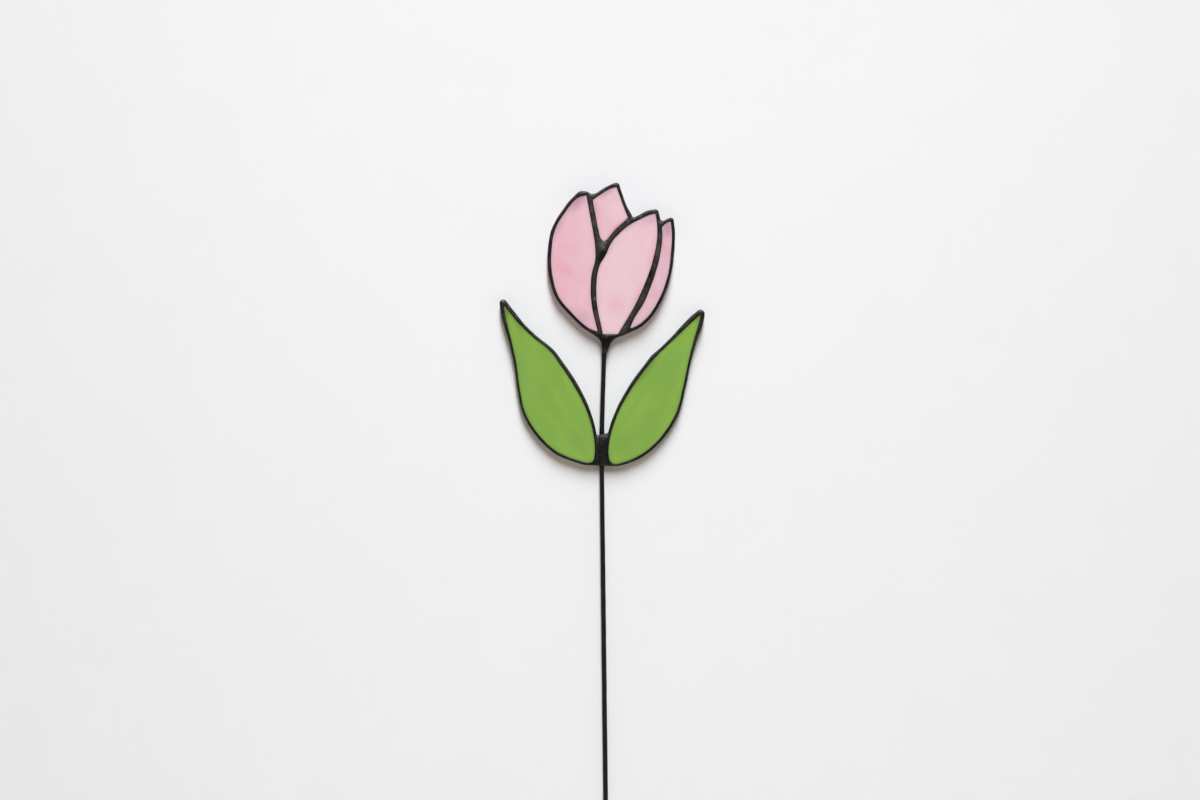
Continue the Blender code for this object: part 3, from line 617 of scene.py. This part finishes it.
def uneven(loop, swellings, origin, amount, length, seed):
    """The loop with each point moved along its normal by a slow ripple, and out at each swelling by a bell
    curve of the distance to it. A swelling is a place, a reach and a height, all in millimetres."""
    ahead = np.roll(loop, -1, axis=0) - np.roll(loop, 1, axis=0)
    normal = np.column_stack([ahead[:, 1], -ahead[:, 0]]) / np.linalg.norm(ahead, axis=1)[:, None]
    out = amount * ripple(loop, length, seed)
    for place, reach, height in swellings:
        away = np.linalg.norm(loop - placed(place, origin), axis=1) / MILLIMETRE
        out += height * MILLIMETRE * np.exp(-(away / reach)**2)
    return loop + out[:, None] * normal


def uneven_windows(windows, swellings, origin, first_seed):
    """The windows in a skin of solder, each with a hand-run edge."""
    return [uneven(window, swellings[side], origin, amount=0.00003, length=0.008, seed=first_seed + number)
            for number, (side, window) in enumerate(windows.items())]


def round_rod(plan, sections, origin):
    """The height of the solder round the rod: over each level a rounded section, a superellipse whose
    half axes and squareness are read off between the listed levels."""
    levels, wide, deep, aside, power = np.array(sections).T
    z = plan[:, 1]
    up = (z - origin[1]) / MILLIMETRE
    wide, deep, aside = [np.interp(up, levels, values) * MILLIMETRE for values in (wide, deep, aside)]
    power = np.interp(up, levels, power)
    across = np.abs(plan[:, 0] - rod_middle(z) - aside) / (BORE_RADIUS + wide)
    within = (across < 1) & (up > levels[0]) & (up < levels[-1])
    return np.where(within, (BORE_RADIUS + deep) * (1 - np.minimum(across, 1)**power)**(1 / power), 0)


def crease_depth(plan, creases, origin):
    """How deep the creases beside the rod are: each a bell curve across, fading out at both its ends. A
    crease is its place to the right of the rod's middle, its width, its depth, and its lower and upper end,
    all in millimetres."""
    aside = (plan[:, 0] - rod_middle(plan[:, 1])) / MILLIMETRE
    up = (plan[:, 1] - origin[1]) / MILLIMETRE
    depth = np.zeros(len(plan))
    for offside, width, deep, low, high in creases:
        lengthways = np.clip(up - low, 0, 1) * np.clip(high - up, 0, 1)
        depth += deep * MILLIMETRE * np.exp(-((aside - offside) / width)**2) * lengthways
    return depth


def solder_skin(name, outline, windows, sections, creases, origin, surface, nodes):
    """A skin of solder. The square of its height is a mean of squares weighted by nearness: of zero at
    the outline, of the foiled glass at the windows, and of the crown, which counts as an edge
    SOLDER_SPREAD away. Slow lumps change it by a few hundredths. Round the rod it rises to the fill's own
    height, blended by a sixth-power sum, and beside the rod it sinks into the creases. On its points it
    keeps how far they rise above the bead's height, as a share of CREST_RISE."""
    edges = [outline, *windows]
    rows = rows_along(outline, [-0.04, -0.13, -0.30, -0.55], edges)
    for window in windows:
        rows += rows_along(window, [0.10, 0.28, 0.55], edges)

    def height(plan):
        reach = [np.maximum(distance_to(edge, plan), SAME_PLACE) for edge in edges]
        weights = [1 / reach[0], sum(1 / distance for distance in reach[1:]), 1 / SOLDER_SPREAD]
        squares = BEAD_HEIGHT**2 * weights[1] + SOLDER_CROWN**2 * weights[2]
        lumps = sum((share * ripple(plan, length, seed) for share, length, seed in LUMPS), start=1)
        molten = np.sqrt(squares / sum(weights)) * lumps
        molten = np.maximum(molten - crease_depth(plan, creases, origin), 0)
        molten[reach[0] <= 2 * SAME_PLACE] = 0
        return (molten**6 + round_rod(plan, sections, origin)**6)**(1 / 6)

    def readings(plan, y):
        return {"crest": np.clip((y - BEAD_HEIGHT) / CREST_RISE, 0, 1)}

    skin = plan_sheet(name, outline, windows, rows, SOLDER_GRID, height, readings)
    skin.data.materials.append(surface)
    skin.data.set_sharp_from_angle(angle=math.radians(75))
    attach(skin, "root")
    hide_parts(*nodes)


# Places on the solder: the origin and the centre, the half axes, the turn in degrees and the strength
# Spots painted lighter grey: painted glints and sheen where the light catches the solder, and on the leaf
# block speckled patches that are partly rubbed patina, partly painted sheen.
SHEEN_AND_RUBBED_SPOTS = [
    (ROD_TOP, (-0.2, 52.2), (2.2, 2.8), 15, 1.10),
    (ROD_TOP, (12.0, 6.4), (2.4, 4.8), 35, 0.60),
    (ROD_TOP, (-5.4, 21.9), (1.0, 1.8), 0, 2.00),
    (ROD_TOP, (-12.0, 82.0), (4.0, 1.6), 0, 0.35),
    (ROD_TOP, (14.6, 67.8), (2.0, 2.6), 0, 0.30),
    (ROD_TOP, (32.4, 64.8), (2.0, 2.4), 0, 0.35),
    (LEAF_FOOT, (-54.4, 92.8), (1.1, 1.1), 0, 1.00),
    (LEAF_FOOT, (28.4, 61.4), (2.4, 1.8), 45, 0.30),
    (LEAF_FOOT, (0.2, 17.0), (5.0, 8.0), 0, 0.30),
    (LEAF_FOOT, (0.0, 7.0), (7.0, 12.0), 0, 0.10),
    (LEAF_FOOT, (-2.5, 14.6), (1.5, 3.4), 5, 0.55),
    (LEAF_FOOT, (-2.5, 8.6), (0.8, 6.5), 0, 0.25),
    (LEAF_FOOT, (1.0, 0.9), (1.6, 0.8), 0, 0.35),
]
# Where the lighter crest and the painted sheen are taken away: painted shade on the lower rims of the head
# and leaves, in the pit below the junction and on a seam's lower side; plain black patina on the funnel's
# top, the leaf block and a leaf tip.
SHADE_AND_BLACK_SPOTS = [
    (ROD_TOP, (-0.9, 45.4), (3.4, 5.0), 15, 1.2),
    (ROD_TOP, (23.0, 29.0), (3.5, 17.0), 24, 0.45),
    (ROD_TOP, (2.4, -1.5), (9.0, 7.0), 0, 1.6),
    (ROD_TOP, (-22.0, 12.0), (22.0, 8.0), 42, 0.6),
    (ROD_TOP, (30.0, 12.0), (20.0, 8.0), -50, 0.6),
    (LEAF_FOOT, (0.0, 8.0), (8.0, 16.0), 0, 1.6),
    (LEAF_FOOT, (1.2, 17.0), (4.0, 2.4), 0, 1.2),
    (LEAF_FOOT, (-55.2, 93.6), (3.0, 3.0), 0, 0.7),
    (LEAF_FOOT, (-36.0, 12.0), (22.0, 14.0), 35, 0.6),
    (LEAF_FOOT, (34.0, 10.0), (22.0, 14.0), -38, 0.6),
]
DULL = [(LEAF_FOOT, (1.2, 17.2), (5.0, 3.2), 0, 1.0)]
solder = Finish("black_patina_solder_skin", {"Metallic": 0.0, "IOR": 1.5, "Specular IOR Level": 0.26})


def at_places(places):
    """The sum of spots, each given by its origin, centre, half axes, turn and strength."""
    return sum(solder.spot(placed(centre, origin), [MILLIMETRE * half for half in reach], turn) * strength
               for origin, centre, reach, turn, strength in places)


blotches = solder.between(solder.noise(170, 4.0), 0.42, 0.68)
speckle = solder.between(solder.noise(1100, 3.0), 0.45, 0.60)
# Spots kept dark: painted shade in part, black patina in part.
shade_and_black_spots = at_places(SHADE_AND_BLACK_SPOTS)
# Lighter crests: partly patina worn off the high solder, partly a painted sheen of the light from above.
crest = solder.stored("crest") ** 1.4 * (0.34 + 0.55 * blotches) - shade_and_black_spots
# Painted sheen: faces turned up towards the light are painted lighter.
painted_top_sheen = solder.between(solder.facing_up(), 0.02, 0.70) * (0.60 + 0.50 * solder.noise(300, 3.0))
colour = solder.mixed(crest, (0.0035, 0.0037, 0.0033), (0.064, 0.053, 0.048))
colour = solder.mixed(painted_top_sheen - 0.5 * shade_and_black_spots, colour, (0.080, 0.074, 0.068))
# Painted glints and sheen, with some rubbed patina, at the listed spots.
colour = solder.mixed(at_places(SHEEN_AND_RUBBED_SPOTS) * (0.20 + 0.80 * speckle), colour, (0.115, 0.118, 0.110))
solder.feed("Base Color", colour)
dull = at_places(DULL)
solder.feed("Roughness",
            0.27 + 0.12 * solder.noise(420, 3.0) + 0.08 * blotches - 0.08 * shade_and_black_spots + 0.26 * dull)
solder.raised(solder.noise(650, 3.0) + 0.3 * solder.noise(2600, 2.0), 0.00016)

# Where the solder's edges stand out, or in where the last number is negative
HEAD_SWELLINGS = [
    ((-12.4, 81.4), 3.2, 1.05),
    ((-8.2, 82.2), 1.6, -0.30),
    ((-5.9, 79.2), 1.9, 0.95),
    ((16.0, 68.2), 3.0, 0.55),
    ((-31.5, 45.0), 20.0, 0.32),
    ((1.5, 84.0), 5.0, 0.18),
    ((7.1, 86.0), 2.4, 0.30),
    ((12.5, 76.0), 6.0, -0.50),
    ((25.0, 70.5), 6.0, 0.80),
    ((38.0, 66.6), 2.2, 0.25),
    ((40.5, 42.0), 17.0, -0.42),
]
WINDOW_SWELLINGS = {
    "left": [((-6.5, 68.0), 10.0, -0.25)],
    "back": [((12.5, 75.0), 6.0, -0.40)],
    "front": [],
    "right": [((38.2, 42.0), 15.0, -0.40)],
}
head_edge = bead_outline(HEAD_EDGE, petal_panes, PETAL_BEAD, PETAL_FILLET, ROD_TOP)
head_outline = uneven(head_edge, HEAD_SWELLINGS, ROD_TOP, amount=0.00006, length=0.011, seed=0.7)
head_windows = uneven_windows(petal_windows, WINDOW_SWELLINGS, ROD_TOP, first_seed=2.0)
solder_skin("head_solder", head_outline, head_windows, FUNNEL, [], ROD_TOP, solder.material,
            ["rim_petal_left", "rim_petal_back", "rim_petal_front", "rim_petal_right", "seam_left_back",
             "seam_left_front", "seam_back_front", "seam_front_right", "solder_petal_junction",
             "solder_calyx"])

# The leaves' solder. A slimmer bead round both leaves, and between them a block of solder that fills
# the gap and covers the rod on both faces.
LEAF_BEAD = 0.00075
LEAF_FILLET = 0.0009
LEAF_EDGE = [
    ("left", (-3.5, 15.95), (-7.4, 1.0)),
    [(-4.0, 0.85), (0.0, 0.65), (4.0, 0.35)],
    ("right", (7.2, 0.1), (4.25, 17.6)),
]
BLOCK = [
    (-1.6, 0.12, 0.12, 0.0, 2.0),
    (-0.8, 0.34, 0.30, 0.0, 2.0),
    (0.0, 0.85, 0.55, 0.0, 2.2),
    (1.2, 1.00, 0.65, 0.0, 2.4),
    (15.6, 1.00, 0.65, 0.0, 2.4),
    (17.0, 0.60, 0.40, 0.0, 2.2),
    (18.0, 0.12, 0.12, 0.0, 2.0),
]
BLOCK_CREASES = [
    (-1.75, 0.40, 0.42, 1.0, 15.8),
    (1.90, 0.45, 0.20, 1.0, 15.8),
]
LEAF_SWELLINGS = [
    ((-55.2, 94.6), 3.0, 0.30),
    ((-54.6, 87.0), 9.0, 0.40),
    ((-47.0, 84.0), 13.0, 0.40),
    ((-47.5, 50.0), 22.0, -0.28),
    ((-17.0, 52.0), 20.0, 0.34),
    ((28.2, 61.0), 3.8, 0.50),
    ((18.0, 47.0), 16.0, 0.28),
    ((50.0, 82.0), 11.0, 1.05),
    ((58.2, 88.2), 2.4, -1.00),
    ((57.4, 78.0), 6.0, 0.15),
    ((49.0, 50.0), 20.0, -0.22),
    ((34.5, 13.5), 9.0, -0.12),
    ((7.5, -0.8), 3.6, -0.20),
]
LEAF_WINDOW_SWELLINGS = {
    "left": [((-17.5, 47.0), 14.0, -0.20)],
    "right": [((33.5, 14.5), 9.0, -0.16)],
}
leaf_edge = bead_outline(LEAF_EDGE, leaf_panes, LEAF_BEAD, LEAF_FILLET, LEAF_FOOT)
leaf_outline = uneven(leaf_edge, LEAF_SWELLINGS, LEAF_FOOT, amount=0.00005, length=0.010, seed=3.1)
leaf_solder_windows = uneven_windows(leaf_windows, LEAF_WINDOW_SWELLINGS, LEAF_FOOT, first_seed=5.0)
solder_skin("leaf_solder", leaf_outline, leaf_solder_windows, BLOCK, BLOCK_CREASES, LEAF_FOOT,
            solder.material, ["rim_leaf_left", "rim_leaf_right", "solder_leaf_joint"])

# The rod. A tinned steel rod, bent a little by hand at the leaves and cut off square below. Solder has
# crept a short way along it out of both joints, and the same patina darkens it.
ROD_RADIUS = 0.00127
ROD_SIDES = 32
RING_SPACING = 0.0006
COLLARS = [(0.2954, 0.00018), (0.2512, 0.00016), (0.2326, 0.00012)]
COLLAR_REACH = 0.0017
LOWER_COAT = 0.00007
COAT_TOP = 0.215
COAT_TAPER = 0.050
ROUGH_HEIGHT = 0.000018


def rod_skin(name, bottom, top):
    """A round profile carried up the rod's middle line. Its radius is the rod's, swollen by a bell curve
    at each collar, by a coat of tin that thickens below the leaves, and by two slight sines that wind
    round it, one 15 mm long and one 36 mm. Both ends close on a point in their middle."""
    z = np.r_[np.arange(bottom, top, RING_SPACING), top]
    swell = sum(height * np.exp(-((z - level) / COLLAR_REACH)**2) for level, height in COLLARS)
    swell += LOWER_COAT * np.clip((COAT_TOP - z) / COAT_TAPER, 0, 1)
    angle = np.linspace(0, 2 * np.pi, ROD_SIDES, endpoint=False)
    rough = ROUGH_HEIGHT * (np.sin(z[:, None] * 410 + 2 * angle) + np.sin(z[:, None] * 173 - angle + 1))
    radius = ROD_RADIUS + swell[:, None] + rough
    rings = np.stack([rod_middle(z)[:, None] + radius * np.cos(angle), radius * np.sin(angle),
                      np.broadcast_to(z[:, None], radius.shape)], axis=2)
    poles = np.array([[0, 0, bottom], [rod_middle(np.array([top]))[0], 0, top]])
    side = np.arange(ROD_SIDES)
    after = (side + 1) % ROD_SIDES
    first_of_ring = np.arange(len(z))[:, None] * ROD_SIDES
    lower, upper, last = first_of_ring[:-1], first_of_ring[1:], first_of_ring[-1]
    walls = np.stack([lower + side, lower + after, upper + after, upper + side], axis=2).reshape(-1, 4)
    low_pole = len(z) * ROD_SIDES
    foot = np.column_stack([after, side, np.full(ROD_SIDES, low_pole)])
    head = np.column_stack([last + side, last + after, np.full(ROD_SIDES, low_pole + 1)])
    mesh = bpy.data.meshes.new(name)
    mesh.from_pydata(np.vstack([rings.reshape(-1, 3), poles]).tolist(), [],
                     [*walls.tolist(), *foot.tolist(), *head.tolist()])
    mesh.shade_smooth()
    mesh.set_sharp_from_angle(angle=math.radians(50))
    rod = bpy.data.objects.new(name, mesh)
    bpy.context.scene.collection.objects.link(rod)
    return rod


tinned = Finish("blackened_tin", {"Metallic": 0.0, "IOR": 1.5, "Specular IOR Level": 0.27})
lengthways = tinned.drawn_out(0, 8.0)
rubbed = tinned.between(tinned.noise(900, 3.0, lengthways), 0.50, 0.74)
tinned.feed("Base Color", tinned.mixed(rubbed, (0.0040, 0.0042, 0.0038), (0.014, 0.014, 0.013)))
tinned.feed("Roughness", 0.34 + 0.20 * tinned.noise(500, 2.0, lengthways))
tinned.raised(tinned.noise(800, 3.0, lengthways), 0.00008)
rod = rod_skin("rod", 0.0, ROD_TOP[1])
rod.data.materials.append(tinned.material)
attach(rod, "root")
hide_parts("stem_rod")

# The stage. A white board leans back a little right behind the flower, and a warm grey floor lies under it.
# The board is drawn from the front alone, so that the flower's back can be looked at too.
GAP_AT_FLOOR = 0.0016
BOARD_LEAN = 0.0117
STAGE_REACH = 3.0


def stage_plane(name, corners, material):
    """A flat face through four corners, outside the object."""
    mesh = bpy.data.meshes.new(name)
    mesh.from_pydata(corners, [], [(0, 1, 2, 3)])
    mesh.materials.append(material)
    plane = bpy.data.objects.new(name, mesh)
    bpy.context.scene.collection.objects.link(plane)
    return plane


def matt(name):
    """A dull finish."""
    return Finish(name, {"Roughness": 0.9, "Specular IOR Level": 0.2})


def mottled(finish, colour, other):
    """Large faint clouds between two nearly equal colours."""
    return finish.mixed(finish.noise(30, 5.0), colour, other)


board_white = matt("white_board")
# Painted shade: the board's colour darkens away from the middle, as the light falls off there.
painted_light_falloff = 1 - board_white.spot((0.0, 0.42), (0.70, 1.10), 0)
board_white.feed("Base Color", board_white.mixed(
    painted_light_falloff,
    mottled(board_white, (0.885, 0.885, 0.885), (0.905, 0.905, 0.905)),
    mottled(board_white, (0.780, 0.780, 0.780), (0.797, 0.797, 0.797))))
painted = Reading(board_white, board_white.shader.outputs[0])
clear = board_white.node("ShaderNodeBsdfTransparent", {}, {})
from_behind = board_white.node("ShaderNodeNewGeometry", {}, {}, "Backfacing")
looked_at = board_white.node("ShaderNodeLightPath", {}, {}, "Is Camera Ray")
board_white.show(board_white.node("ShaderNodeMixShader", {},
                                  {0: from_behind * looked_at, 1: painted, 2: clear}))
gap_at_top = GAP_AT_FLOOR + BOARD_LEAN * STAGE_REACH
board_corners = [(-STAGE_REACH, GAP_AT_FLOOR, 0), (STAGE_REACH, GAP_AT_FLOOR, 0),
                 (STAGE_REACH, gap_at_top, STAGE_REACH), (-STAGE_REACH, gap_at_top, STAGE_REACH)]
board = stage_plane("board", board_corners, board_white.material)
board.visible_shadow = False
floor_grey = matt("warm_grey_floor")
floor_grey.feed("Base Color", mottled(floor_grey, (0.345, 0.287, 0.240), (0.385, 0.322, 0.272)))
floor_corners = [(-STAGE_REACH, -STAGE_REACH, 0), (STAGE_REACH, -STAGE_REACH, 0),
                 (STAGE_REACH, STAGE_REACH, 0), (-STAGE_REACH, STAGE_REACH, 0)]
stage_plane("floor", floor_corners, floor_grey.material)


def lamp(name, place, aim, width, length, power, colour=(1.0, 1.0, 1.0)):
    """A soft oval lamp that shines from its place at its aim."""
    data = bpy.data.lights.new(name, "AREA")
    data.shape = "ELLIPSE"
    data.size = width
    data.size_y = length
    data.energy = power
    data.color = colour
    item = bpy.data.objects.new(name, data)
    item.location = place
    item.rotation_euler = (Vector(aim) - item.location).to_track_quat("-Z", "Y").to_euler()
    bpy.context.scene.collection.objects.link(item)


lamp("skylight", place=(0.35, -4.00, 4.75), aim=(0, 0, 0.30), width=1.30, length=5.60, power=446.0,
     colour=(0.958, 1.0, 1.055))
lamp("softbox_behind", place=(0.30, 1.30, 1.30), aim=(0, 0, 0.25), width=0.80, length=0.80, power=14.0)

# The room round the stage. Its dim light is warmer and weaker from below, and it looks pale where the board
# and the floor end.
world = bpy.data.worlds.new("dim_room")
room = Nodes(world)
direction = room.node("ShaderNodeTexCoord", {}, {}, "Generated")
upwards = room.node("ShaderNodeSeparateXYZ", {}, {0: direction}, "Z")
height_share = room.node("ShaderNodeMapRange", {}, {"Value": upwards, "From Min": -0.2, "From Max": 0.9})
walls_and_ceiling = room.mixed(height_share, (0.36, 0.29, 0.23), (1.0, 0.86, 0.72))
dim = room.node("ShaderNodeBackground", {}, {"Color": walls_and_ceiling, "Strength": 0.13})
pale = room.node("ShaderNodeBackground", {}, {"Color": (0.72, 0.70, 0.68, 1)})
looked_at = room.node("ShaderNodeLightPath", {}, {}, "Is Camera Ray")
room.show(room.node("ShaderNodeMixShader", {}, {0: looked_at, 1: dim, 2: pale}))
bpy.context.scene.world = world

# The camera. It looks level at the flower's front from straight ahead, and is turned a little about its
# own axis, so that the rod leans slightly in the picture.
PICTURE_WIDTH = 0.672
PICTURE_CENTRE = (-0.00058, 0.27008)
PICTURE_TURN = math.asin(0.01147)
camera_data = bpy.data.cameras.new("camera")
camera_data.lens = 85
camera_data.sensor_width = 36
camera = bpy.data.objects.new("camera", camera_data)
distance = PICTURE_WIDTH * camera_data.lens / camera_data.sensor_width
camera.location = (PICTURE_CENTRE[0], -distance, PICTURE_CENTRE[1])
camera.rotation_euler = (math.pi / 2, PICTURE_TURN, 0)
bpy.context.scene.collection.objects.link(camera)
bpy.context.scene.camera = camera
bpy.context.scene.view_settings.view_transform = "Standard"
